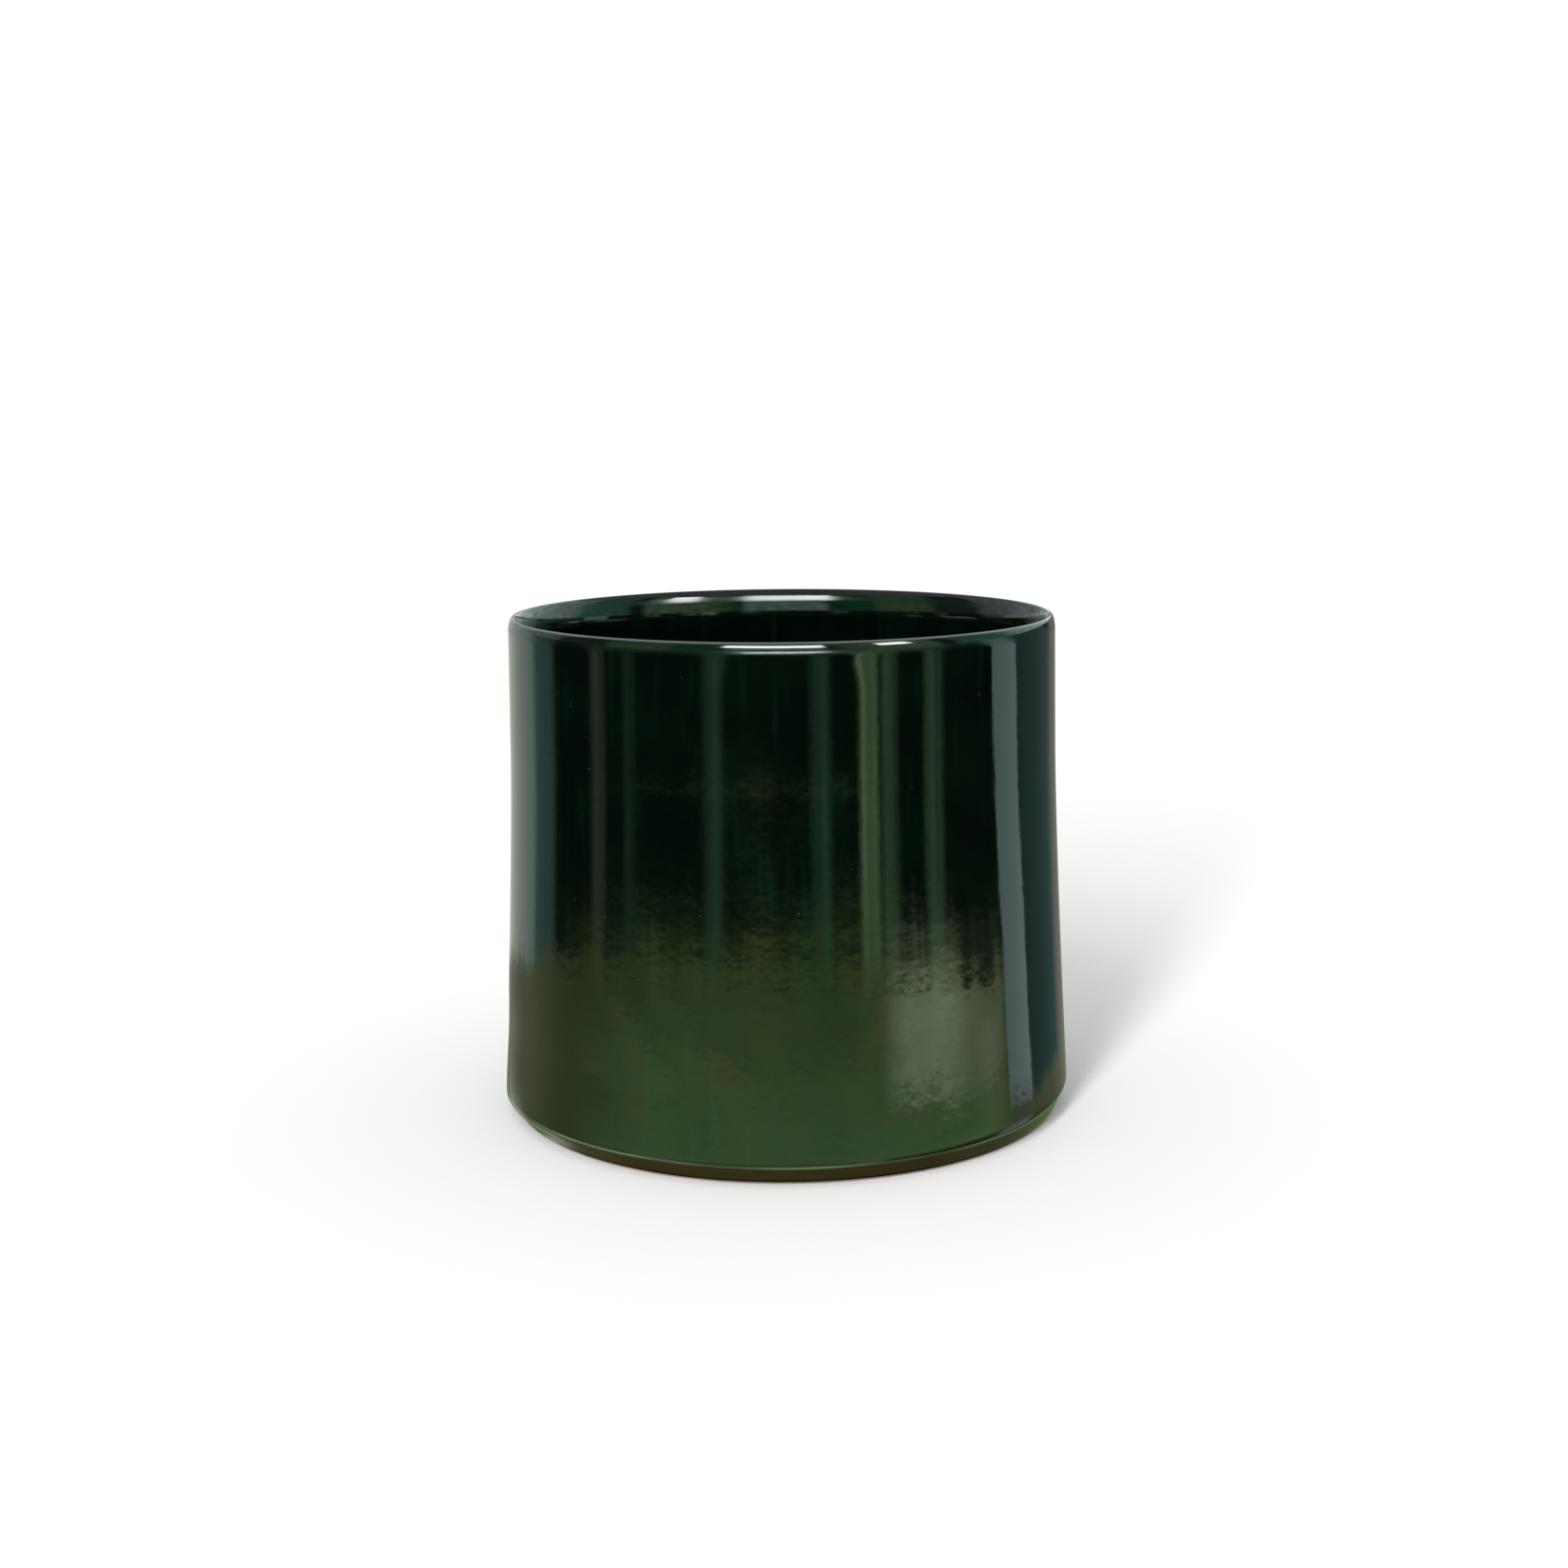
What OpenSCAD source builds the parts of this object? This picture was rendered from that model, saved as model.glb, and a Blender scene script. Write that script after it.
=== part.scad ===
// Glazed terracotta planter: a straight-sided pot that spreads slightly at the foot.
// The axis is +Z and the origin is on the surface that the pot stands on.

/* [Pot] */
// Outer diameter just under the lip, over the glaze
rim_d = 402; // [242:10:502]
// Diameter that the wall would reach at floor level, over the glaze
foot_d = 428; // [412:1:450]
// Height from the standing surface to the crown of the rim
pot_h = 368; // [240:2:480]
// Height at which the wall starts to spread, as a share of the pot's height
waist_share = 0.73; // [0.5:0.01:0.9]
// Thickness of the wall, over the glaze
wall_t = 11; // [10:0.5:18]
// Width of the lip's outer shoulder, from the crown to the outside
shoulder_w = 3.2; // [2:0.2:6]
// Depth of the lip's outer shoulder, below the crown
shoulder_h = 11; // [5:0.5:20]
// Depth of the lip's inner shoulder, which takes up the rest of the wall's thickness
throat_h = 26; // [8:1:40]
// Thickness of the floor, over the glaze
floor_t = 15; // [10:0.5:25]
// Radius of the curve between the wall and the floor inside
cove_r = 16; // [6:1:40]
// Thickness of the fired glaze
glaze_t = 0.6; // [0.3:0.1:1]

/* [Foot] */
// Height of the edge where the wall turns in under the pot
edge_z = 15.5; // [10:0.5:24]
// Radius of that edge
edge_r = 3; // [2:0.5:6]
// Slope of the bevel under the edge, from the horizontal
bevel_angle = 58; // [30:1:65]
// Width of the bare ring that the pads are stuck to
ring_w = 25; // [22:1:40]
// Depth of the recess inside the ring
recess_h = 3; // [1:0.5:6]
// Height above the foot at which the glaze is wiped off
wipe_h = 0.5; // [0.5:0.5:5]

/* [Drain] */
// Diameter of the drain hole in the middle of the floor
drain_d = 25; // [12:1:40]
// Gap all round between the plug's shank and the hole
plug_gap = 0.2; // [0.1:0.05:0.5]
// How much narrower the shank is at its tip, on the radius
plug_taper = 1; // [0:0.1:3]
// How far the plug's head overlaps the floor around the hole
head_overlap = 7; // [4:0.5:12]
// Thickness of the plug's head
head_t = 4; // [3:0.5:6]
// Diameter of the grip on the head
grip_d = 15; // [10:1:20]
// Height of the grip on the head
grip_h = 7; // [5:0.5:12]

/* [Foot pads] */
// Number of pads around the ring
pad_count = 4; // [3:1:6]
// Diameter of each pad
pad_d = 18; // [12:1:20]
// Thickness of each pad
pad_t = 1.5; // [1:0.5:4]

/* [Hidden] */
$fn = 96;

CLAY = "sienna";
GLAZE_OUT = "darkgreen";
GLAZE_IN = "darkslategray";
RUBBER = "dimgray";

// Wall: a straight taper above the waist, and a spread that quickens towards the foot below it
rim_r = rim_d / 2;
crown_r = rim_r - shoulder_w;
shoulder_z = pot_h - shoulder_h;
throat_z = pot_h - throat_h;
waist_z = waist_share * pot_h;
top_taper = 1.1;
spread = foot_d / 2 - rim_r - top_taper;
spread_power = 1.3;
function wall_r(z) =
    let (below = max(0, 1 - z / waist_z))
    let (above = max(0, z - waist_z) / (shoulder_z - waist_z))
    rim_r + top_taper * (1 - above) + spread * pow(below, spread_power);

function cavity_r(z) = wall_r(z) - wall_t;

// Heights and centres of the round stretches of the section
foot_z = pad_t;
floor_under_z = foot_z + recess_h;
floor_z = floor_under_z + floor_t;
cove_z = floor_z + cove_r;
throat_w = crown_r - cavity_r(throat_z);
edge_c = [wall_r(edge_z) - edge_r, edge_z];
cove_c = [cavity_r(cove_z) - cove_r, cove_z];
bevel_out = [sin(bevel_angle), -cos(bevel_angle)];
bevel_run = (edge_z - edge_r * cos(bevel_angle) - foot_z) / tan(bevel_angle);
ring_out_r = edge_c[0] + edge_r * sin(bevel_angle) - bevel_run;
wall_steps = 20;
lip_steps = 16;
over = 1;

drain_r = drain_d / 2;
plug_tip_z = floor_under_z + over;
seat_gap = 0.1;
head_z = floor_z + seat_gap;
head_r = drain_r + head_overlap;
grip_neck = 2;
soft_r = 1;

pad_ring_r = ring_out_r - ring_w / 2;
pad_start = 45;

// A quarter of an oval about [r, z], from its side (0) to its top (90)
function quarter(r, z, w, h) = [for (i = [0:lip_steps])
    let (a = 90 * i / lip_steps)
    [r + w * cos(a), z + h * sin(a)]];

// Half of the pot's outline as if it were solid, set back by t, out to the crown of the lip
module outside_shape(t) {
    step = (shoulder_z - edge_z) / wall_steps;
    wall = [for (i = [0:wall_steps - 1]) let (z = edge_z + i * step) [wall_r(z) - t, z]];
    lip = quarter(crown_r, shoulder_z, shoulder_w - t, shoulder_h - t);
    bevel_top = edge_c + (edge_r - t) * bevel_out;
    ring_corner = [ring_out_r - t / sin(bevel_angle), foot_z];
    polygon(concat([[0, foot_z], ring_corner, bevel_top, edge_c], wall, lip, [[0, pot_h - t]]));
    translate(edge_c) circle(r = edge_r - t);
}

// Half of the hollow inside, widened by t, from the floor to the crown of the lip and open at the top
module cavity_shape(t) {
    step = (throat_z - cove_z) / wall_steps;
    wall = [for (i = [0:wall_steps - 1]) let (z = cove_z + i * step) [cavity_r(z) + t, z]];
    lip = quarter(crown_r, throat_z, t - throat_w, throat_h - t);
    top = [[crown_r, pot_h + over], [0, pot_h + over]];
    polygon(concat([[0, floor_z - t], [cove_c[0], floor_z - t], cove_c], wall, lip, top));
    translate(cove_c) circle(r = cove_r + t);
}

// Fired terracotta: wall, floor, recessed underside with its bare ring, and the drain hole
module clay_body() {
    color(CLAY) difference() {
        rotate_extrude() difference() {
            outside_shape(glaze_t);
            cavity_shape(glaze_t);
        }
        translate([0, 0, foot_z - over]) cylinder(r = ring_out_r - ring_w, h = recess_h + over);
        cylinder(r = drain_r, h = floor_z + over);
    }
}

// Coat over the bevel, the wall and the lip out to its crown, wiped off above the bare ring
module outer_glaze() {
    color(GLAZE_OUT) rotate_extrude() intersection() {
        difference() {
            outside_shape(0);
            outside_shape(glaze_t);
        }
        translate([crown_r, foot_z + wipe_h]) square([foot_d, pot_h]);
    }
}

// Coat over the floor and the inside wall, from the edge of the drain hole to the crown of the lip
module inner_glaze() {
    color(GLAZE_IN) rotate_extrude() intersection() {
        difference() {
            cavity_shape(glaze_t);
            cavity_shape(0);
        }
        translate([drain_r, 0]) square([foot_d, pot_h]);
    }
}

// Rubber bung: a tapered shank, a flat head that seats on the floor, and a grip to pull it by
module drain_plug() {
    shank_r = drain_r - plug_gap;
    grip_z = head_z + head_t + grip_h;
    color(RUBBER) rotate_extrude() {
        polygon([
            [0, plug_tip_z], [shank_r - plug_taper, plug_tip_z], [shank_r, head_z],
            [head_r, head_z], [head_r, head_z + head_t - soft_r], [head_r - soft_r, head_z + head_t],
            [grip_d / 2 - grip_neck, head_z + head_t], [grip_d / 2, grip_z - grip_neck],
            [grip_d / 2 - soft_r, grip_z], [0, grip_z]
        ]);
        translate([head_r - soft_r, head_z + head_t - soft_r]) circle(r = soft_r);
    }
}

// Stick-on rubber pad under the bare ring, number i of pad_count
module foot_pad(i) {
    angle = pad_start + 360 * (i - 1) / pad_count;
    color(RUBBER) rotate([0, 0, angle]) translate([pad_ring_r, 0, 0]) cylinder(d = pad_d, h = pad_t);
}

clay_body();
outer_glaze();
inner_glaze();
drain_plug();
for (i = [1:pad_count]) foot_pad(i);
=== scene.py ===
import math
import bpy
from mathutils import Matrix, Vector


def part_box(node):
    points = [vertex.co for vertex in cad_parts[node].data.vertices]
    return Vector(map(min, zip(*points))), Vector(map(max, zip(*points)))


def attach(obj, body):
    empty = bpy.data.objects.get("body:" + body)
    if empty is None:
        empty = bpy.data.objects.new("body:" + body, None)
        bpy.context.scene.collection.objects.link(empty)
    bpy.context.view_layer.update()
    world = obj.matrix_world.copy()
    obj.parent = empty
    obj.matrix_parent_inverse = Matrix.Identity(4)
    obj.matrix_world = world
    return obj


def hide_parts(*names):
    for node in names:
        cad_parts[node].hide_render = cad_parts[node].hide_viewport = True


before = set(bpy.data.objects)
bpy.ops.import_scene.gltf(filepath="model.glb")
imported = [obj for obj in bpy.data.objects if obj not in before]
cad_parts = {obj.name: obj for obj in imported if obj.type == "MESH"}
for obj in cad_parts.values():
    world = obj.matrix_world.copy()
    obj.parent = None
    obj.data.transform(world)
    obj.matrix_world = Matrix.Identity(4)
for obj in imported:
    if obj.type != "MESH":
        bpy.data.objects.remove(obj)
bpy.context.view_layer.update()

from types import SimpleNamespace

import bpy
from mathutils import Matrix

MM = 0.001

# Sizes in metres, as in the CAD source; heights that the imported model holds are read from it
POT_LO, POT_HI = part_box("outer_glaze")
PLUG_LO, PLUG_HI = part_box("drain_plug")
PAD_LO, PAD_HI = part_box("foot_pad_1")

CROWN_Z = POT_HI.z
RIM_R = 201 * MM
FOOT_R = 214 * MM
TOP_TAPER = 1.1 * MM
WAIST_Z = 0.73 * CROWN_Z
SPREAD_POWER = 1.3
WALL_T = 11 * MM
SHOULDER_W = 3.2 * MM
SHOULDER_H = 11 * MM
THROAT_H = 26 * MM
GLAZE_T = 0.6 * MM
TOP_LEAN = 1.4 * MM
EDGE_Z = 15.5 * MM
EDGE_R = 3 * MM
BEVEL = math.radians(58)
FOOT_Z = PAD_HI.z
RECESS_Z = FOOT_Z + 3 * MM
FLOOR_Z = RECESS_Z + 15 * MM
COVE_R = 16 * MM
RING_W = 25 * MM
WIPE_Z = FOOT_Z + 0.5 * MM
DRAIN_R = 12.5 * MM
CORNER_R = 0.7 * MM

CROWN_R = RIM_R - SHOULDER_W
SHOULDER_Z = CROWN_Z - SHOULDER_H
THROAT_Z = CROWN_Z - THROAT_H


# ------------------------------------------------------------------ camera, first of all
def place_camera():
    """A 50 mm lens about 1.7 m away, a little above the rim and looking slightly down."""
    lens = bpy.data.cameras.new("camera")
    lens.sensor_width = 36
    lens.lens = 50.73
    lens.clip_end = 100
    camera = bpy.data.objects.new("camera", lens)
    camera.location = (-0.0003, -1.63, 0.529)
    tilt = Matrix.Rotation(math.radians(79.92), 3, "X") @ Matrix.Rotation(math.radians(-0.43), 3, "Z")
    camera.rotation_euler = tilt.to_euler()
    bpy.context.collection.objects.link(camera)
    bpy.context.scene.camera = camera
    bpy.context.scene.view_settings.view_transform = "Standard"


# ------------------------------------------------------------------ small tools
def paint(code):
    """A colour given as sRGB hex, turned to linear for the shader."""
    parts = [int(code[i:i + 2], 16) / 255 for i in (1, 3, 5)]
    return [c / 12.92 if c <= 0.04045 else ((c + 0.055) / 1.055) ** 2.4 for c in parts] + [1]


# Nodes that come up again and again, each with its settings
PLUS = ("ShaderNodeMath", {"operation": "ADD"})
MINUS = ("ShaderNodeMath", {"operation": "SUBTRACT"})
TIMES = ("ShaderNodeMath", {"operation": "MULTIPLY"})
OVER = ("ShaderNodeMath", {"operation": "DIVIDE"})
POWER = ("ShaderNodeMath", {"operation": "POWER"})
LARGER = ("ShaderNodeMath", {"operation": "MAXIMUM"})
PLAIN_SIZE = ("ShaderNodeMath", {"operation": "ABSOLUTE"})
SINE = ("ShaderNodeMath", {"operation": "SINE"})
COSINE = ("ShaderNodeMath", {"operation": "COSINE"})
IS_LESS = ("ShaderNodeMath", {"operation": "LESS_THAN"})
IS_MORE = ("ShaderNodeMath", {"operation": "GREATER_THAN"})
LENGTH = ("ShaderNodeVectorMath", {"operation": "LENGTH"})
BRIGHTEN = ("ShaderNodeVectorMath", {"operation": "SCALE"})
# where to look, how many lumps there are to a metre, and how fine they go
NOISE = "ShaderNodeTexNoise"
BUMP = "ShaderNodeBump"
# a value, where it starts and ends, and what it goes smoothly between: 0 and 1 if that isn't given
FADE = ("ShaderNodeMapRange", {"interpolation_type": "SMOOTHSTEP"})
# the share of the second colour, and the two colours
BLEND = ("ShaderNodeMix", {"data_type": "RGBA"})


def feed(node, *values, **inputs):
    """Fill a node's live inputs, in their order or by name, with numbers, nodes or their outputs."""
    live = [socket for socket in node.inputs if socket.enabled]
    pairs = list(zip(live, values))
    pairs += [(node.inputs[name.replace("_", " ")], value) for name, value in inputs.items()]
    for socket, value in pairs:
        if isinstance(value, bpy.types.Node):
            value = next(output for output in value.outputs if output.enabled)
        if isinstance(value, bpy.types.NodeSocket):
            node.id_data.links.new(value, socket)
        else:
            socket.default_value = value
    return node


def add(tree, kind, *values, **inputs):
    """Add one node and feed it. The kind is its type, or its type with its settings, which may
    include the stops of a colour ramp."""
    node_type, settings = (kind, {}) if isinstance(kind, str) else kind
    node = tree.nodes.new(node_type)
    for name, value in settings.items():
        if name == "stops":
            ramp = node.color_ramp.elements
            while len(ramp) < len(value):
                ramp.new(0.5)
            for stop, (place, colour) in zip(ramp, value):
                stop.position = place
                stop.color = colour
        else:
            setattr(node, name, value)
    return feed(node, *values, **inputs)


def band(tree, value, low, high, soft):
    """1 between low and high, with soft edges, and 0 outside."""
    return add(tree, TIMES, add(tree, FADE, value, low - soft, low + soft),
               add(tree, FADE, value, high - soft, high + soft, 1.0, 0.0))


# ------------------------------------------------------------------ sections of the lathed pieces
# Each is a list of (radius, height) points round a closed outline, anticlockwise.
def wall_radius(z):
    """Outside of the glazed wall: straight above the waist, spreading towards the foot below it."""
    below = max(0, 1 - z / WAIST_Z)
    above = max(0, z - WAIST_Z) / (SHOULDER_Z - WAIST_Z)
    spread = FOOT_R - RIM_R - TOP_TAPER
    return RIM_R + TOP_TAPER * (1 - above) + spread * below ** SPREAD_POWER


def cavity_radius(z):
    """Inside of the glazed wall."""
    return wall_radius(z) - WALL_T


THROAT_W = CROWN_R - cavity_radius(THROAT_Z)
EDGE_C = (wall_radius(EDGE_Z) - EDGE_R, EDGE_Z)
COVE_C = (cavity_radius(FLOOR_Z + COVE_R) - COVE_R, FLOOR_Z + COVE_R)
RING_OUT_R = (EDGE_C[0] + EDGE_R * math.sin(BEVEL)
              - (EDGE_Z - EDGE_R * math.cos(BEVEL) - FOOT_Z) / math.tan(BEVEL))


def run(start, end, steps):
    """Evenly spaced numbers from start to end, both kept."""
    return [start + (end - start) * i / steps for i in range(steps + 1)]


def arc(centre, width, height, start, end, steps):
    """Points on an oval arc, its angles in degrees from the outward direction."""
    return [(centre[0] + width * math.cos(math.radians(a)), centre[1] + height * math.sin(math.radians(a)))
            for a in run(start, end, steps)]


def soften(points, radius=CORNER_R, steps=3):
    """Round the corners of an open line, and keep its two ends."""
    out = [points[0]]
    for before, here, after in zip(points, points[1:], points[2:]):
        back = math.dist(before, here)
        ahead = math.dist(here, after)
        cut = min(radius, back / 2, ahead / 2)
        first = [h + (b - h) * cut / back for h, b in zip(here, before)]
        last = [h + (a - h) * cut / ahead for h, a in zip(here, after)]
        for t in run(0, 1, steps):
            out.append(tuple((1 - t) ** 2 * f + 2 * t * (1 - t) * h + t * t * e
                             for f, h, e in zip(first, here, last)))
    return out + [points[-1]]


def outer_line(inset, steps, lip_steps):
    """Up the outside: the edge of the foot, the wall, and the outer shoulder to the crown."""
    edge = arc(EDGE_C, EDGE_R - inset, EDGE_R - inset, math.degrees(BEVEL) - 90, 0, 8)
    wall = [(wall_radius(z) - inset, z) for z in run(EDGE_Z, SHOULDER_Z, steps)[1:-1]]
    return edge + wall + arc((CROWN_R, SHOULDER_Z), SHOULDER_W - inset, SHOULDER_H - inset, 0, 90, lip_steps)


def inner_line(inset, steps, lip_steps):
    """Down the inside from the crown: the throat, the wall, and the cove into the floor."""
    throat = arc((CROWN_R, THROAT_Z), THROAT_W - inset, THROAT_H - inset, 90, 180, lip_steps)
    wall = [(cavity_radius(z) + inset, z) for z in run(THROAT_Z, COVE_C[1], steps)[1:-1]]
    return throat + wall + arc(COVE_C, COVE_R + inset, COVE_R + inset, 0, -90, 12)


def bevel_point(inset, z):
    """Where the sloping underside of the edge crosses height z."""
    return (RING_OUT_R - inset / math.sin(BEVEL) + (z - FOOT_Z) / math.tan(BEVEL), z)


def clay_section():
    """The bare pot: drain hole, recess, wiped foot ring, wall, lip and floor."""
    ring_in = RING_OUT_R - RING_W
    base = soften([(DRAIN_R, FLOOR_Z - GLAZE_T), (DRAIN_R, RECESS_Z), (ring_in, RECESS_Z), (ring_in, FOOT_Z),
                   bevel_point(GLAZE_T, FOOT_Z), bevel_point(GLAZE_T, 6 * MM)])
    return base + outer_line(GLAZE_T, 40, 12) + inner_line(GLAZE_T, 30, 14)[1:]


def outer_coat_section():
    """The glaze on the bevel, the wall and the lip out to its crown."""
    seen = [bevel_point(0, z) for z in run(WIPE_Z, EDGE_Z - EDGE_R * math.cos(BEVEL), 5)[:-1]]
    seen += outer_line(0, 120, 36)
    hidden = [bevel_point(GLAZE_T, WIPE_Z)] + outer_line(GLAZE_T, 24, 12)
    return seen + hidden[::-1]


def inner_coat_section():
    """The glaze on the throat, the inside wall, the cove and the floor, to the edge of the drain hole."""
    seen = inner_line(0, 80, 40) + [(r, FLOOR_Z) for r in run(COVE_C[0], DRAIN_R, 16)[1:]]
    hidden = inner_line(GLAZE_T, 24, 14) + [(DRAIN_R, FLOOR_Z - GLAZE_T)]
    return hidden[::-1] + seen


def plug_section():
    """Rubber bung: tapered shank, flat head with two moulded rings, and a waisted grip."""
    head_z = FLOOR_Z + 0.1 * MM
    top = head_z + 4 * MM
    shank_r = DRAIN_R - 0.2 * MM
    head_r = DRAIN_R + 7 * MM
    grip_z = PLUG_HI.z
    rings = []
    for r in (15.5 * MM, 11.5 * MM):
        rings += [(r + 0.9 * MM, top - 0.35 * MM), (r, top), (r - 0.9 * MM, top - 0.35 * MM)]
    body = soften([(0, PLUG_LO.z), (shank_r - 1 * MM, PLUG_LO.z), (shank_r, head_z), (head_r, head_z),
                   (head_r, top - 0.35 * MM)] + rings
                  + [(5.5 * MM, top - 0.35 * MM), (7.5 * MM, grip_z - 2 * MM), (6.6 * MM, grip_z),
                     (0, grip_z)], 0.6 * MM)
    return body


def pad_section():
    """Stick-on rubber disc with a rolled edge."""
    r = (PAD_HI.x - PAD_LO.x) / 2
    return soften([(0, PAD_LO.z), (r, PAD_LO.z), (r, PAD_HI.z), (0, PAD_HI.z)], 0.45 * MM, 4)


# ------------------------------------------------------------------ the potter's wheel
NEST_R = (0.150, 0.185)          # unevenness comes in between these radii
FOOT_EDGE_R = (0.196, 0.209)     # and the foot's own unevenness between these
LEAN_Z = 0.03
WAIST_BAND = (0.045, 0.080, 0.028)
TILT_BAND = (0.010, 0.0175, 0.006)
WEAR_BAND = (0.0075, 0.0155, 0.005)
WELD = 1e-6
CREASE = math.radians(38)


def new_geometry_tree(name, inputs, output):
    """An empty Geometry Nodes tree with named inputs and one output."""
    tree = bpy.data.node_groups.new(name, "GeometryNodeTree")
    tree.is_modifier = True
    for label, kind in inputs.items():
        tree.interface.new_socket(name=label, in_out="INPUT", socket_type=f"NodeSocket{kind}")
    tree.interface.new_socket(name=output, in_out="OUTPUT", socket_type="NodeSocketGeometry")
    return tree, add(tree, "NodeGroupInput").outputs


def wheel_tree():
    """Geometry Nodes: turns a section round the axis, with the slight unevenness of thrown clay."""
    tree, given = new_geometry_tree("throw_on_wheel", {
        "Section": "Geometry", "Turns": "Int", "Ring depth": "Float", "Ring pitch": "Float",
        "Wobble": "Float", "Waist": "Float", "Foot tilt": "Float", "Foot wear": "Float",
        "Lean": "Float", "Seed": "Float", "Material": "Material"}, "Piece")

    # a sheet of points, one column for each step of the turn and one row for each point of the section
    rows = add(tree, ("GeometryNodeAttributeDomainSize", {"component": "MESH"}), given["Section"])
    columns = add(tree, PLUS, given["Turns"], 1)
    looped = add(tree, PLUS, rows, 1)
    sheet = add(tree, "GeometryNodeMeshGrid", Vertices_X=columns, Vertices_Y=looped)
    index = add(tree, "GeometryNodeInputIndex")
    column = add(tree, ("ShaderNodeMath", {"operation": "FLOOR"}), add(tree, OVER, index, looped))
    row = add(tree, MINUS, index, add(tree, TIMES, column, looped))
    last_row = add(tree, IS_LESS, row, add(tree, MINUS, rows, 0.5))
    last_column = add(tree, IS_LESS, column, add(tree, MINUS, given["Turns"], 0.5))
    sampled = add(tree, ("GeometryNodeSampleIndex", {"data_type": "FLOAT_VECTOR"}), given["Section"],
                  add(tree, "GeometryNodeInputPosition"), add(tree, TIMES, row, last_row))
    section = add(tree, "ShaderNodeSeparateXYZ", sampled).outputs
    radius, height = section["X"], section["Z"]
    angle = add(tree, OVER, add(tree, TIMES, add(tree, TIMES, column, last_column), 2 * math.pi),
                given["Turns"])
    east = add(tree, COSINE, angle)
    north = add(tree, SINE, angle)

    # unevenness is kept to the wall, and fades out above the foot and below the crown
    on_wall = add(tree, TIMES, add(tree, FADE, radius, *NEST_R),
                  band(tree, height, 0.034, CROWN_Z - 0.004, 0.010))
    around = add(tree, "ShaderNodeCombineXYZ", east, north, add(tree, TIMES, height, 5))
    lumps = add(tree, ("ShaderNodeTexNoise", {"noise_dimensions": "4D"}), around, given["Seed"],
                Scale=1.6, Detail=1.5)
    wobble = add(tree, TIMES, add(tree, MINUS, lumps, 0.5), given["Wobble"])
    turns_up = add(tree, OVER, add(tree, TIMES, height, 2 * math.pi), given["Ring pitch"])
    rings = add(tree, SINE, add(tree, PLUS, add(tree, TIMES, lumps, 5), turns_up))
    rings = add(tree, TIMES, rings, given["Ring depth"])
    push = add(tree, TIMES, add(tree, PLUS, wobble, rings), on_wall)

    # a faint waist on the west side, near the foot
    west_side = add(tree, POWER, add(tree, LARGER, add(tree, TIMES, east, -1), 0.0), 2)
    waist = add(tree, TIMES, add(tree, TIMES, west_side, given["Waist"]),
                band(tree, height, *WAIST_BAND))
    push = add(tree, MINUS, push, add(tree, TIMES, waist, add(tree, FADE, radius, *NEST_R)))

    # the foot's edge is higher on one side than the other, and worn on the east side
    near_edge = add(tree, FADE, radius, *FOOT_EDGE_R)
    tilt = add(tree, TIMES, add(tree, POWER, east, 3), given["Foot tilt"])
    lift = add(tree, TIMES, tilt, add(tree, TIMES, near_edge, band(tree, height, *TILT_BAND)))
    east_side = add(tree, POWER, add(tree, LARGER, east, 0.0), 3)
    wear = add(tree, TIMES, add(tree, TIMES, east_side, given["Foot wear"]),
               add(tree, TIMES, near_edge, band(tree, height, *WEAR_BAND)))
    reach = add(tree, MINUS, add(tree, PLUS, radius, push), wear)

    # and the whole pot leans a little to the west
    raised = add(tree, LARGER, add(tree, MINUS, height, LEAN_Z), 0.0)
    lean = add(tree, TIMES, add(tree, OVER, raised, CROWN_Z), given["Lean"])
    place = add(tree, "ShaderNodeCombineXYZ", add(tree, MINUS, add(tree, TIMES, reach, east), lean),
                add(tree, TIMES, reach, north), add(tree, PLUS, height, lift))

    shaped = add(tree, "GeometryNodeSetPosition", sheet, Position=place)
    closed = add(tree, "GeometryNodeMergeByDistance", shaped, Distance=WELD)
    smooth = add(tree, ("GeometryNodeSetShadeSmooth", {"domain": "FACE"}), closed, Shade_Smooth=True)
    sharp = add(tree, ("FunctionNodeCompare", {"data_type": "FLOAT", "operation": "GREATER_THAN"}),
                add(tree, "GeometryNodeInputMeshEdgeAngle"), CREASE)
    creased = add(tree, ("GeometryNodeSetShadeSmooth", {"domain": "EDGE"}), smooth, Selection=sharp,
                  Shade_Smooth=False)
    real = add(tree, "GeometryNodeRealizeInstances", creased)
    add(tree, "NodeGroupOutput", add(tree, "GeometryNodeSetMaterial", real, Material=given["Material"]))
    return tree


def pads_tree():
    """Geometry Nodes: sets one pad at each place round the ring, each turned a little differently."""
    tree, given = new_geometry_tree("stick_pads_round_ring", {
        "Pad": "Geometry", "Count": "Int", "Ring radius": "Float", "Seed": "Int",
        "Material": "Material"}, "Pads")
    ring = add(tree, "GeometryNodeMeshCircle", given["Count"], given["Ring radius"])
    turned = add(tree, "GeometryNodeTransform", ring, Rotation=(0, 0, math.pi / 4))
    spin = add(tree, ("FunctionNodeRandomValue", {"data_type": "FLOAT"}), 0.0, 2 * math.pi,
               Seed=given["Seed"])
    placed = add(tree, "GeometryNodeInstanceOnPoints", turned, Instance=given["Pad"],
                 Rotation=add(tree, "ShaderNodeCombineXYZ", Z=spin))
    real = add(tree, "GeometryNodeRealizeInstances", placed)
    add(tree, "NodeGroupOutput", add(tree, "GeometryNodeSetMaterial", real, Material=given["Material"]))
    return tree


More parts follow.
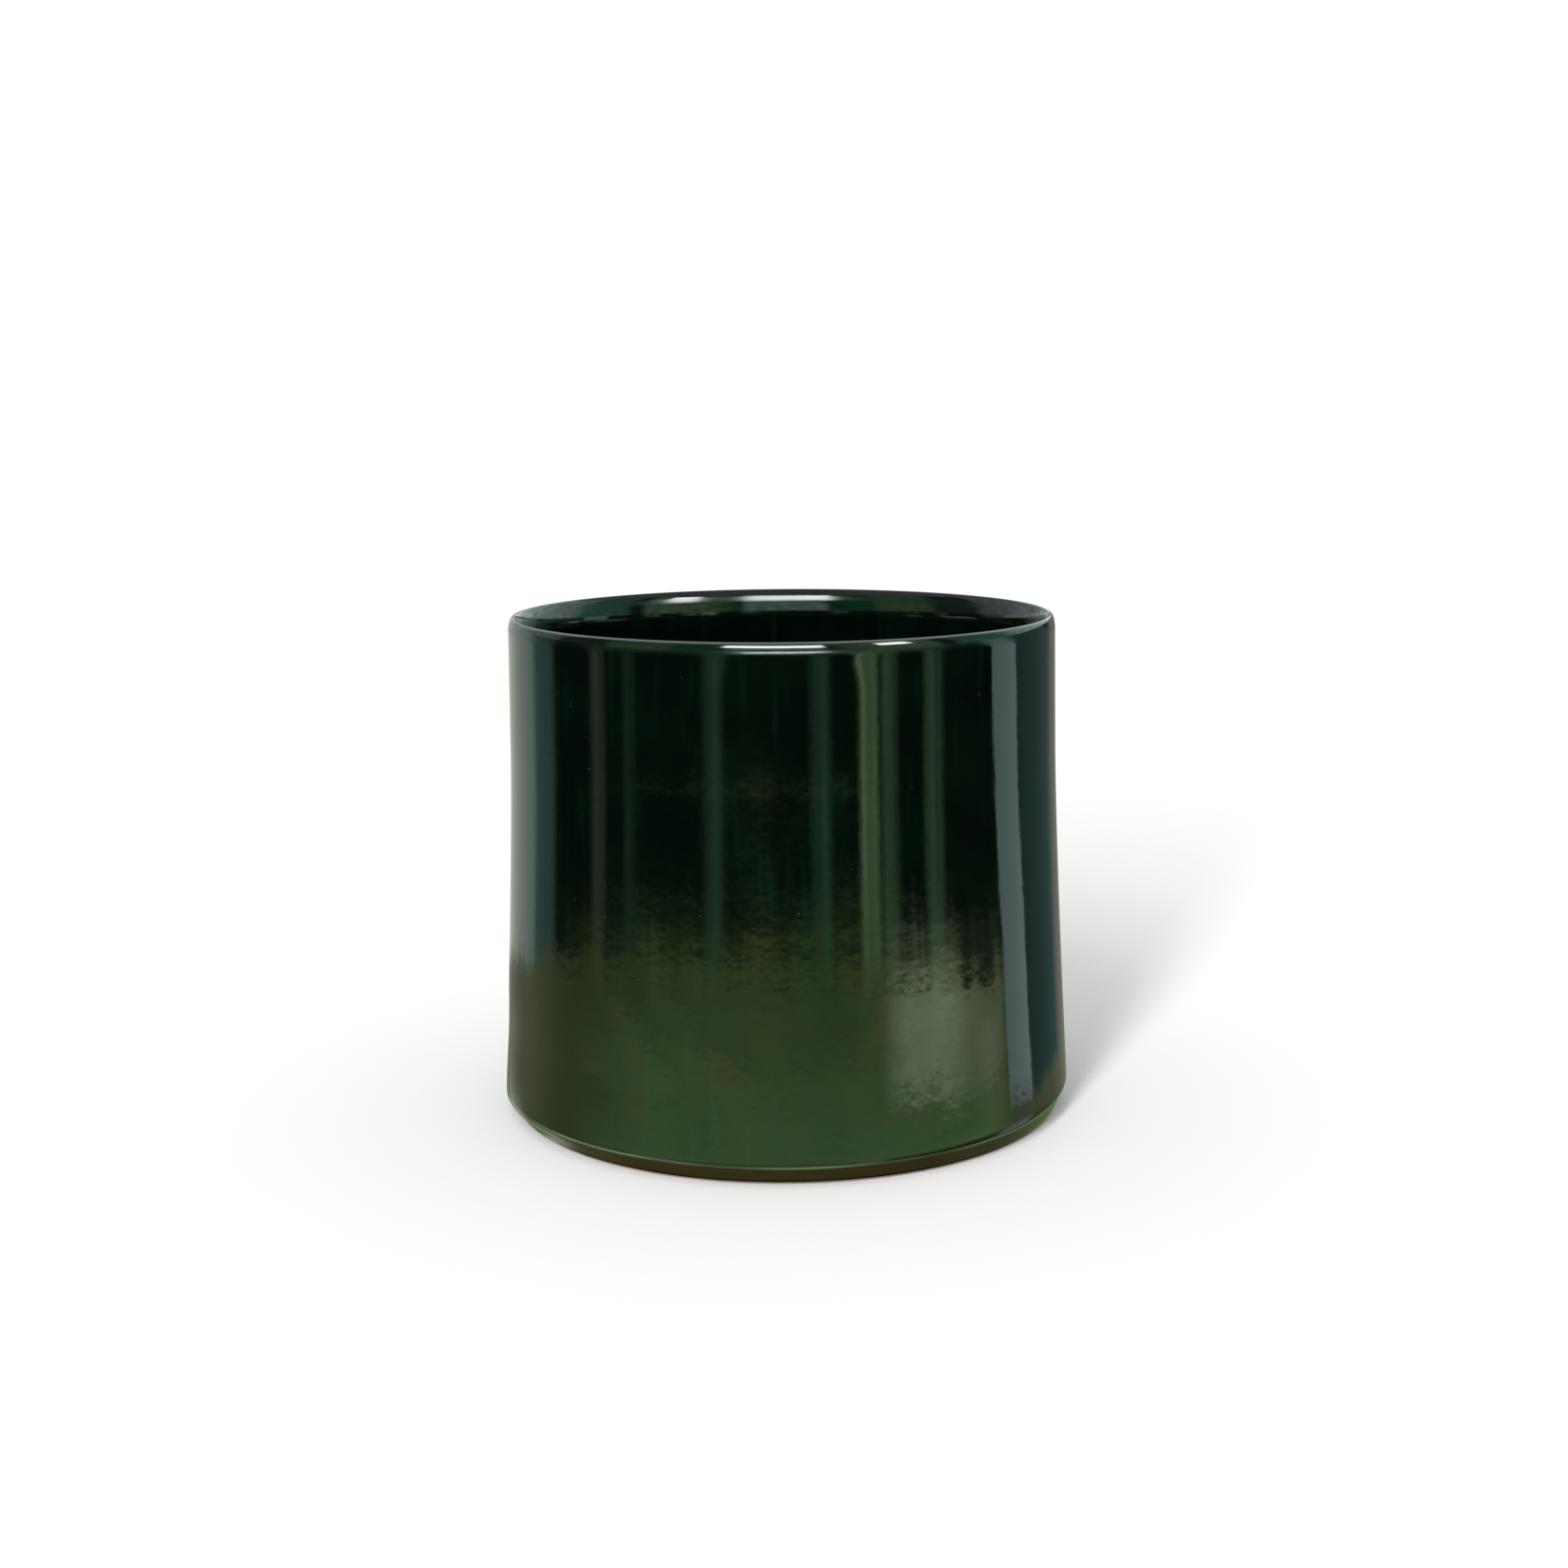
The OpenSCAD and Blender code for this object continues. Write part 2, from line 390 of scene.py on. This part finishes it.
def shape_with(piece, tree, **sizes):
    """Run a piece through a tree with these inputs, and leave it as a plain mesh."""
    step = piece.modifiers.new(tree.name, "NODES")
    step.node_group = tree
    for item in tree.interface.items_tree:
        name = item.name.replace(" ", "_")
        if item.in_out == "INPUT" and name in sizes:
            step[item.identifier] = sizes[name]
    bpy.context.view_layer.update()
    graph = bpy.context.evaluated_depsgraph_get()
    mesh = bpy.data.meshes.new_from_object(piece.evaluated_get(graph), depsgraph=graph)
    piece.modifiers.remove(step)
    piece.data = mesh
    mesh.name = piece.name
    return piece


def throw(name, section, material, turns=384, uneven=True):
    """One lathed piece. The pot's own pieces share the same unevenness, so they stay nested."""
    mesh = bpy.data.meshes.new(name)
    mesh.from_pydata([(r, 0, z) for r, z in section], [], [])
    piece = bpy.data.objects.new(name, mesh)
    bpy.context.collection.objects.link(piece)
    amount = 1.0 if uneven else 0.0
    return shape_with(piece, WHEEL, Turns=turns, Ring_depth=0.004 * MM * amount, Ring_pitch=26 * MM,
                      Wobble=0.35 * MM * amount, Waist=0.9 * MM * amount, Foot_tilt=4.4 * MM * amount,
                      Foot_wear=1.2 * MM * amount, Lean=TOP_LEAN * amount, Seed=3.0, Material=material)


# ------------------------------------------------------------------ materials
def new_material(name):
    material = bpy.data.materials.new(name)
    material.use_nodes = True
    tree = material.node_tree
    shader = tree.nodes["Principled BSDF"]
    place = add(tree, "ShaderNodeTexCoord").outputs["Object"]
    return material, tree, shader, place


def bottle_green_glaze():
    """Lead-free bottle-green gloss glaze, dipped and fired: a near-black green glass with orange-peel
    ripples, that breaks thin and grey-green along the lip, with a painted pale reflection there too,
    olive along the foot's edge, thin glaze with a painted highlight, and brown on the bevel under it,
    where it was wiped, with a painted contact shadow darkest next to the ring."""
    material, tree, shader, place = new_material("bottle_green_gloss_glaze")
    xyz = add(tree, "ShaderNodeSeparateXYZ", place).outputs
    height = xyz["Z"]
    flat = add(tree, "ShaderNodeCombineXYZ", X=add(tree, PLUS, xyz["X"], TOP_LEAN), Y=xyz["Y"])
    reach = add(tree, LENGTH, flat)

    # the depth of colour wanders as the coat runs thicker and thinner
    depth = add(tree, FADE, add(tree, NOISE, place, 1 / (42 * MM), 4.0), 0.32, 0.72)
    green = add(tree, BLEND, depth, paint("#010402"), paint("#020804"))
    drawn_out = add(tree, "ShaderNodeMapping", place, Scale=(1, 1, 0.12))
    streaks = add(tree, FADE, add(tree, NOISE, drawn_out, 1 / (9 * MM), 3.0), 0.55, 0.85, 0.0, 0.5)
    green = add(tree, BLEND, streaks, green, paint("#06160e"))

    # thin glaze over the crown of the lip, and a painted pale reflection along it
    ragged = add(tree, TIMES, add(tree, MINUS, add(tree, NOISE, place, 1 / (14 * MM), 4.0), 0.5), 3 * MM)
    lip = add(tree, FADE, add(tree, PLUS, height, add(tree, TIMES, ragged, 0.15)),
              CROWN_Z - 1.5 * MM, CROWN_Z - 0.5 * MM)
    lip = add(tree, TIMES, lip, add(tree, FADE, reach, CROWN_R - 1.3 * MM, CROWN_R - 0.3 * MM))
    # the crown line: thin grey-green glaze together with a painted pale reflection
    green = add(tree, BLEND, add(tree, TIMES, lip, 0.8), green, paint("#4a524c"))

    # brown below the edge of the foot; a painted contact shadow, darkest next to the ring; and over the edge
    # itself thin glaze with a painted pale highlight
    outside = add(tree, FADE, reach, 190 * MM, 196 * MM)
    under = add(tree, TIMES, add(tree, FADE, add(tree, PLUS, height, ragged), 15.0 * MM, 12.0 * MM), outside)
    green = add(tree, BLEND, under, green, paint("#28230f"))
    # painted contact shadow: near-black over the bevel's lowest few millimetres, next to the ring
    painted_contact_shade = add(tree, TIMES, add(tree, FADE, height, 4.5 * MM, 2.5 * MM), outside)
    green = add(tree, BLEND, painted_contact_shade, green, paint("#0b0805"))
    # painted highlight along the foot's edge, partly thin glaze breaking over it
    edge_thin_glaze_and_highlight = add(tree, TIMES, band(tree, height, 13.4 * MM, 15.2 * MM, 0.7 * MM), outside)
    worn = add(tree, FADE, add(tree, NOISE, flat, 1 / (120 * MM), 2.0), 0.35, 0.6, 0.35, 1.0)
    green = add(tree, BLEND, add(tree, TIMES, edge_thin_glaze_and_highlight, worn), green, paint("#545e48"))

    # pinholes and specks of grit
    cells = add(tree, "ShaderNodeTexVoronoi", place, Scale=1 / (11 * MM)).outputs
    chosen = add(tree, IS_MORE, add(tree, "ShaderNodeSeparateColor", cells["Color"]), 0.8)
    grit = add(tree, TIMES, add(tree, FADE, cells["Distance"], 0.035, 0.055, 1.0, 0.0), chosen)
    green = add(tree, BLEND, add(tree, TIMES, grit, 0.5), green, paint("#3a4a34"))

    # the gloss varies a little, and is duller just under the lip, where the coat pooled
    gloss = add(tree, FADE, add(tree, NOISE, place, 1 / (60 * MM), 3.0), 0.3, 0.75, 0.03, 0.075)
    dull = add(tree, TIMES, band(tree, height, CROWN_Z - 9 * MM, CROWN_Z - 5.2 * MM, 0.6 * MM), 0.13)

    # a soft bead under the lip, front and back, where the glaze ran down and pooled
    bead = add(tree, TIMES, add(tree, FADE, height, CROWN_Z - 5.3 * MM, CROWN_Z - 7.9 * MM),
               add(tree, FADE, height, CROWN_Z - 32 * MM, CROWN_Z - 12 * MM))
    bead = add(tree, TIMES, bead, band(tree, xyz["X"], -34 * MM, 47 * MM, 12 * MM))
    bead = add(tree, TIMES, bead, add(tree, FADE, reach, CROWN_R - 1 * MM, CROWN_R))
    peel = add(tree, BUMP, Distance=0.03 * MM, Height=add(tree, NOISE, place, 1 / (7 * MM), 1.0))
    fine = add(tree, BUMP, Distance=0.003 * MM, Height=add(tree, NOISE, place, 1 / (2.2 * MM), 2.0),
               Normal=peel)
    pits = add(tree, BUMP, Distance=-0.04 * MM, Height=grit, Normal=fine)
    feed(shader, Base_Color=green, Roughness=add(tree, PLUS, gloss, dull), IOR=1.5,
         Normal=add(tree, BUMP, Distance=0.25 * MM, Height=bead, Normal=pits))
    return material


def terracotta():
    """Red earthenware, biscuit-fired and left bare where it was wiped: a matt, open, slightly
    patchy orange-brown with fine grog, and faint turning lines from the sponge."""
    material, tree, shader, place = new_material("wiped_terracotta")
    xyz = add(tree, "ShaderNodeSeparateXYZ", place).outputs
    reach = add(tree, LENGTH, add(tree, "ShaderNodeCombineXYZ", xyz["X"], xyz["Y"]))
    patches = add(tree, NOISE, place, 1 / (30 * MM), 5.0)
    clay = add(tree, BLEND, add(tree, FADE, patches, 0.3, 0.7), paint("#9a5536"), paint("#bd7850"))
    grog = add(tree, "ShaderNodeTexVoronoi", place, Scale=1 / (1.6 * MM)).outputs
    picked = add(tree, "ShaderNodeSeparateColor", grog["Color"]).outputs
    dark_grog = add(tree, TIMES, add(tree, IS_MORE, picked[0], 0.86),
                    add(tree, FADE, grog["Distance"], 0.25, 0.4, 0.8, 0.0))
    pale_grog = add(tree, TIMES, add(tree, IS_MORE, picked[1], 0.88),
                    add(tree, FADE, grog["Distance"], 0.2, 0.35, 0.7, 0.0))
    clay = add(tree, BLEND, dark_grog, clay, paint("#5f3524"))
    clay = add(tree, BLEND, pale_grog, clay, paint("#d9ab86"))
    grime = add(tree, FADE, add(tree, NOISE, place, 1 / (12 * MM), 6.0), 0.52, 0.8, 0.0, 0.5)
    clay = add(tree, BLEND, grime, clay, paint("#6b4632"))
    turning = add(tree, SINE, add(tree, PLUS, add(tree, TIMES, reach, 2 * math.pi / (1.8 * MM)),
                                  add(tree, TIMES, patches, 6)))
    lines = add(tree, BUMP, Distance=0.03 * MM, Height=turning)
    grain = add(tree, NOISE, place, 1 / (0.9 * MM), 4.0)
    feed(shader, Base_Color=clay, Roughness=add(tree, FADE, patches, 0.2, 0.8, 0.78, 0.92),
         Normal=add(tree, BUMP, Distance=0.25 * MM, Height=grain, Normal=lines))
    return material


def moulded_rubber(name, base, scuffed, roughness, grain_size):
    """Black nitrile rubber out of a satin mould, with faint bloom and scuffs where it is handled."""
    material, tree, shader, place = new_material(name)
    bloom = add(tree, NOISE, place, 1 / (9 * MM), 5.0)
    colour = add(tree, BLEND, add(tree, FADE, bloom, 0.42, 0.75), paint(base), paint(scuffed))
    feed(shader, Base_Color=colour, IOR=1.52,
         Roughness=add(tree, FADE, bloom, 0.3, 0.7, roughness, roughness + 0.2),
         Normal=add(tree, BUMP, Distance=0.03 * MM, Height=add(tree, NOISE, place, 1 / grain_size, 3.0)))
    return material


# ------------------------------------------------------------------ floor, backdrop and light
FLOOR_DISC_R = 16.0
DOME_R = 45.0
WHITE_PAPER = 1.05


def stage_disc(name, radius, material, sides=96):
    mesh = bpy.data.meshes.new(name)
    rim = [(radius * math.cos(2 * math.pi * i / sides), radius * math.sin(2 * math.pi * i / sides), 0)
           for i in range(sides)]
    mesh.from_pydata(rim, [], [list(range(sides))])
    mesh.materials.append(material)
    disc = bpy.data.objects.new(name, mesh)
    bpy.context.collection.objects.link(disc)
    return disc


def studio_floor():
    """Plain pale floor, which the gloss of the pot doesn't see."""
    material, tree, shader, place = new_material("pale_floor")
    tint = add(tree, BLEND, add(tree, NOISE, place, 1 / 0.6), paint("#d3d3d2"),
               paint("#d6d6d5"))
    feed(shader, Base_Color=tint, Roughness=1.0, Specular_IOR_Level=0.0)
    floor = stage_disc("floor", FLOOR_DISC_R, material)
    floor.visible_glossy = False


# ------------------------------------------------------------------ the cards that the gloss sees
# Plain light colours, red, green and blue
BLACK_CLOTH = (0.005, 0.013, 0.008)
DIM_GAP = (0.07, 0.14, 0.08)
SOFT_GAP = (0.14, 0.28, 0.18)
GREEN_GAP = (0.11, 0.25, 0.15)
FAR_GAP = (0.18, 0.34, 0.19)
GREY_CARD = (0.27, 0.38, 0.33)
BLUE_CARD = (0.10, 0.175, 0.16)
LOW_SHADE = (0.16, 0.25, 0.11)
LOW_PALE = (0.85, 0.98, 0.84)
GREY_WALL = (0.24, 0.27, 0.27)
DARK_WALL = (0.04, 0.06, 0.05)
DEEP_GREEN_WALL = (0.03, 0.16, 0.07)
TEAL_WINDOW = (0.36, 0.6, 0.55)
BLACK_WALL = (0.02, 0.05, 0.03)


def angle_stops(*stops):
    """Ramp stops given by compass angle from the camera's side, -180 to 180, with a colour for each."""
    return {"stops": [((angle + 180) / 360, (*colour, 1)) for angle, colour in stops]}


def directions(tree):
    """What the cards are laid out by: the angle above level, the angle round from the camera's side,
    and several noises."""
    place = add(tree, "ShaderNodeTexCoord").outputs["Object"]
    way = add(tree, ("ShaderNodeVectorMath", {"operation": "NORMALIZE"}), place)
    xyz = add(tree, "ShaderNodeSeparateXYZ", way).outputs
    seen = SimpleNamespace()
    seen.up = add(tree, TIMES, add(tree, ("ShaderNodeMath", {"operation": "ARCSINE"}), xyz["Z"]),
                  180 / math.pi)
    round_turn = add(tree, OVER, add(tree, ("ShaderNodeMath", {"operation": "ARCTAN2"}), xyz["X"],
                                     add(tree, TIMES, xyz["Y"], -1)), 2 * math.pi)
    seen.turn = add(tree, PLUS, round_turn, 0.5)
    seen.degrees = add(tree, MINUS, add(tree, TIMES, seen.turn, 360), 180)
    seen.sides = add(tree, PLAIN_SIZE, seen.degrees)
    seen.folds = add(tree, NOISE, add(tree, "ShaderNodeMapping", way, Scale=(1, 1, 0.12)), 1 / 0.05, 4.0)
    seen.mown = add(tree, NOISE, add(tree, "ShaderNodeMapping", way, Scale=(1, 1, 40)), 1 / 0.35, 5.0)
    seen.ripple = add(tree, NOISE, way, 1 / 0.07, 4.0)
    seen.swell = add(tree, NOISE, way, 1 / 0.5, 1.0)
    # an upright wall lowers what it shows towards its sides, so level edges are drawn to sag round the pot
    sag = add(tree, MINUS, 1.0, add(tree, COSINE, add(tree, TIMES, round_turn, math.pi)))
    seen.low = add(tree, PLUS, seen.up, add(tree, TIMES, sag, 5.2))
    return seen


def stirred(tree, value, noise, amount):
    """A value moved up and down by a noise, by half the amount each way."""
    return add(tree, PLUS, value, add(tree, TIMES, add(tree, MINUS, noise, 0.5), amount))


def eye_level_drapes(tree, seen):
    """Dark drapes with narrow pale gaps."""
    drapes = add(tree, ("ShaderNodeValToRGB", angle_stops(
        (-136, (0.31, 0.34, 0.30)), (-133, GREY_CARD), (-126, GREY_CARD), (-122, BLUE_CARD),
        (-110, BLUE_CARD), (-106, BLACK_CLOTH), (-86, BLACK_CLOTH), (-81, (0.20, 0.25, 0.17)),
        (-76, BLACK_CLOTH), (-69, BLACK_CLOTH), (-65, DIM_GAP), (-61, BLACK_CLOTH), (-33, BLACK_CLOTH),
        (-30, SOFT_GAP), (-26, SOFT_GAP), (-23, BLACK_CLOTH), (10, BLACK_CLOTH), (12, GREEN_GAP),
        (17, GREEN_GAP), (20, BLACK_CLOTH), (30, BLACK_CLOTH), (32, (0.60, 0.95, 0.46)),
        (37, (0.56, 0.88, 0.44)), (39, BLACK_CLOTH), (41, (0.22, 0.4, 0.2)), (45, (0.2, 0.36, 0.2)),
        (48, BLACK_CLOTH), (58, BLACK_CLOTH), (61, FAR_GAP), (66, FAR_GAP), (69, BLACK_CLOTH))), seen.turn)
    to_side = add(tree, FADE, seen.sides, 100.0, 112.0)
    in_folds = add(tree, TIMES, add(tree, MINUS, 1.0, to_side),
                   add(tree, FADE, seen.folds, 0.3, 0.75, 1.2, 2.8))
    return add(tree, BRIGHTEN, drapes, add(tree, PLUS, add(tree, TIMES, to_side, 2.1), in_folds))


def lit_top_of_room(tree, seen):
    """What the lip and the throat of the pot catch, above the drapes."""
    upper = add(tree, ("ShaderNodeValToRGB", angle_stops(
        (-180, (0.22, 0.25, 0.24)), (-150, (0.18, 0.21, 0.19)), (-145, GREY_WALL), (-108, GREY_WALL),
        (-102, DARK_WALL), (-80, DARK_WALL), (-74, (0.13, 0.25, 0.13)), (-48, (0.15, 0.29, 0.14)),
        (-44, DEEP_GREEN_WALL), (-24, DEEP_GREEN_WALL), (-20, TEAL_WINDOW), (16, TEAL_WINDOW),
        (20, (0.04, 0.14, 0.07)), (34, (0.2, 0.36, 0.2)), (66, (0.24, 0.42, 0.24)), (70, BLACK_WALL),
        (75, BLACK_WALL), (79, (0.11, 0.30, 0.24)), (105, (0.12, 0.31, 0.25)),
        (112, (0.38, 0.56, 0.54)), (180, (0.48, 0.54, 0.50)))), seen.turn)
    return add(tree, BRIGHTEN, upper, add(tree, FADE, seen.ripple, 0.25, 0.75, 1.6, 3.2))


def green_board(tree, seen):
    """Low down: a green board with brown patches, a sunny path at the right, and greyer sides."""
    low, mown = seen.low, seen.mown
    board = add(tree, ("ShaderNodeValToRGB", {"stops": [
        (0.0, (0.19, 0.31, 0.10, 1)), (0.4, (0.22, 0.40, 0.13, 1)), (1.0, (0.28, 0.55, 0.21, 1))]}),
        add(tree, FADE, low, -9.5, -14.5))
    board = add(tree, BLEND, add(tree, FADE, mown, 0.50, 0.72, 0.0, 0.7), board, (0.30, 0.30, 0.13, 1))
    board = add(tree, BRIGHTEN, board, add(tree, FADE, mown, 0.25, 0.7, 2.2, 3.4))

    path = add(tree, TIMES, add(tree, FADE, seen.degrees, 36.0, 52.0),
               add(tree, FADE, seen.degrees, 97.0, 99.0, 1.0, 0.0))
    path = add(tree, TIMES, path, add(
        tree, FADE, add(tree, PLUS, low, add(tree, TIMES, seen.ripple, 0.8)), -11.9, -11.0))
    sunny = add(tree, BLEND, add(tree, FADE, seen.degrees, 60.0, 82.0), (2.5, 3.2, 1.85, 1),
                (1.25, 1.6, 0.9, 1))
    sunny = add(tree, BRIGHTEN, sunny, add(tree, FADE, mown, 0.3, 0.7, 0.8, 1.2))
    board = add(tree, BLEND, path, board, sunny)

    to_left = add(tree, FADE, seen.degrees, -45.0, -105.0, 0.0, 0.8)
    board = add(tree, BLEND, to_left, board, (0.26, 0.30, 0.12, 1))
    board = add(tree, BLEND, add(tree, FADE, seen.sides, 84.0, 108.0), board, (0.36, 0.42, 0.21, 1))
    board = add(tree, BLEND, add(tree, FADE, seen.sides, 122.0, 140.0), board, (0.28, 0.30, 0.21, 1))

    # lower still, pale cards standing on the floor, and then the dark floor itself
    cards = add(tree, ("ShaderNodeValToRGB", angle_stops(
        (-160, LOW_SHADE), (-150, LOW_PALE), (-138, LOW_PALE), (-130, LOW_SHADE), (-68, LOW_SHADE),
        (-60, LOW_PALE), (-50, LOW_PALE), (-42, LOW_SHADE), (24, LOW_SHADE), (30, LOW_PALE),
        (36, LOW_PALE), (42, LOW_SHADE), (92, LOW_SHADE), (99, LOW_PALE), (112, LOW_PALE),
        (120, LOW_SHADE))), seen.turn)
    board = add(tree, BLEND, add(tree, FADE, seen.up, -14.5, -20.0), board, cards)
    board = add(tree, BLEND, add(tree, FADE, seen.up, -30.0, -46.0), board, (0.12, 0.14, 0.07, 1))
    return add(tree, BLEND, add(tree, FADE, seen.up, -50.0, -62.0), board, (0.05, 0.055, 0.03, 1))


def meeting_edge(tree, seen, drapes, board):
    """The drapes above the board, with a ragged, hazy edge between them and a shrub at the right."""
    edge = stirred(tree, stirred(tree, seen.low, seen.ripple, 1.2), seen.swell, 1.6)
    hazy = add(tree, FADE, stirred(tree, edge, seen.folds, 1.6), -7.9, -9.7, 0.0, 0.34)
    hazy = add(tree, TIMES, hazy, add(tree, FADE, seen.sides, 92.0, 104.0, 1.0, 0.0))
    light = add(tree, BLEND, hazy, drapes, board)
    light = add(tree, BLEND, add(tree, FADE, edge, -9.0, -10.0), light, board)
    shrub = add(tree, TIMES, band(tree, seen.degrees, 75.0, 93.0, 2.0), band(tree, edge, -9.7, -8.9, 0.25))
    return add(tree, BLEND, add(tree, TIMES, shrub, 0.9), light, (0.01, 0.03, 0.02, 1))


def pale_strips(tree, seen, light):
    """Two upright pale strips on the right, which reach down over the board, and the band between."""
    beyond_strip = add(tree, LARGER, add(tree, MINUS, seen.degrees, 119.0), 0.0)
    reach_down = add(tree, MINUS, add(tree, PLUS, seen.low, add(tree, TIMES, seen.ripple, 0.8)),
                     add(tree, TIMES, beyond_strip, 0.024))
    reach_down = add(tree, FADE, reach_down, -11.95, -11.7)
    slanted = add(tree, PLUS, seen.degrees, add(tree, TIMES, add(tree, PLUS, seen.low, 3.5), 0.6))
    slanted = stirred(tree, slanted, seen.ripple, 5.0)
    between = add(tree, TIMES, band(tree, slanted, 111.0, 147.0, 2.0), reach_down)
    light = add(tree, BLEND, between, light, (0.10, 0.19, 0.18, 1))
    far_strip = add(tree, TIMES, add(tree, FADE, seen.degrees, 143.0, 150.0), reach_down)
    light = add(tree, BLEND, far_strip, light, (0.28, 0.28, 0.24, 1))
    near_strip = add(tree, TIMES, band(tree, slanted, 95.0, 111.5, 0.7), reach_down)
    return add(tree, BLEND, near_strip, light, (0.92, 1.25, 1.2, 1))


def overhead_panels(tree, seen, light):
    """A pale ceiling with two bright white panels at the front."""
    ceiling = add(tree, BLEND, add(tree, FADE, seen.ripple, 0.3, 0.7), (0.45, 0.52, 0.52, 1),
                  (0.62, 0.68, 0.70, 1))
    light = add(tree, BLEND, add(tree, FADE, seen.up, 38.0, 44.0), light, ceiling)
    wide = band(tree, seen.degrees, -25.0, 18.0, 1.5)
    narrow = band(tree, seen.degrees, 42.0, 57.0, 1.5)
    panels = add(tree, TIMES, band(tree, seen.up, 24.0, 38.0, 1.5), add(tree, PLUS, wide, narrow))
    return add(tree, BLEND, panels, light, (22, 22.5, 23, 1))


def reflection_dome():
    """Soft cards round the pot that only its gloss sees: dark drapes at eye level with a few narrow
    pale gaps, a green board low down, and white panels overhead."""
    material = bpy.data.materials.new("reflection_cards")
    material.use_nodes = True
    tree = material.node_tree
    tree.nodes.clear()
    seen = directions(tree)
    light = meeting_edge(tree, seen, eye_level_drapes(tree, seen), green_board(tree, seen))
    light = pale_strips(tree, seen, light)
    light = add(tree, BLEND, add(tree, FADE, seen.up, 5.5, 8.0), light, lit_top_of_room(tree, seen))
    light = overhead_panels(tree, seen, light)
    add(tree, "ShaderNodeOutputMaterial", add(tree, "ShaderNodeEmission", light, 1.0))

    material.cycles.emission_sampling = "NONE"
    bpy.ops.mesh.primitive_uv_sphere_add(segments=96, ring_count=48, radius=DOME_R)
    dome = bpy.context.object
    dome.name = "reflection_dome"
    dome.data.materials.append(material)
    for way_seen in ("visible_camera", "visible_diffuse", "visible_shadow", "visible_transmission",
                     "visible_volume_scatter"):
        setattr(dome, way_seen, False)


def white_surround():
    """Even white all round, for the background and the fill light."""
    world = bpy.data.worlds.new("white_surround")
    bpy.context.scene.world = world
    world.use_nodes = True
    tree = world.node_tree
    tree.nodes["Background"].inputs[0].default_value = (WHITE_PAPER, WHITE_PAPER, WHITE_PAPER, 1)
    world.cycles_visibility.glossy = False


def tall_softbox():
    """The key light: a tall soft column from the front left, as a stack of soft suns."""
    for height in (14, 21, 28, 35, 42, 50):
        light = bpy.data.lights.new(f"key_{height}", "SUN")
        light.energy = 0.30 / math.sin(math.radians(height))
        light.angle = math.radians(9)
        lamp = bpy.data.objects.new(f"key_{height}", light)
        lamp.rotation_euler = (math.radians(90 - height), 0, math.radians(-22))
        lamp.visible_glossy = False
        bpy.context.collection.objects.link(lamp)


# ------------------------------------------------------------------ the scene
place_camera()
WHEEL = wheel_tree()
GLAZE = bottle_green_glaze()
CLAY = terracotta()
PLUG_RUBBER = moulded_rubber("moulded_plug_rubber", "#101010", "#2c2b29", 0.38, 0.8 * MM)
PAD_RUBBER = moulded_rubber("stick_on_pad_rubber", "#1b1b1b", "#333230", 0.62, 0.6 * MM)

clay_pot = throw("clay_pot", clay_section(), CLAY, turns=288)
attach(clay_pot, "pot")
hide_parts("clay_body")

outer_coat = throw("outer_glaze_coat", outer_coat_section(), GLAZE)
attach(outer_coat, "pot")
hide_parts("outer_glaze")

inner_coat = throw("inner_glaze_coat", inner_coat_section(), GLAZE)
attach(inner_coat, "pot")
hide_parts("inner_glaze")

plug = throw("rubber_bung", plug_section(), PLUG_RUBBER, turns=128, uneven=False)
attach(plug, "plug")
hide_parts("drain_plug")

pad_centre = (PAD_LO + PAD_HI) / 2
pads = throw("foot_pads", pad_section(), PAD_RUBBER, turns=64, uneven=False)
shape_with(pads, pads_tree(), Count=4, Ring_radius=math.hypot(pad_centre.x, pad_centre.y), Seed=5,
           Material=PAD_RUBBER)
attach(pads, "pot")
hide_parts("foot_pad_1", "foot_pad_2", "foot_pad_3", "foot_pad_4")

studio_floor()
reflection_dome()
white_surround()
tall_softbox()
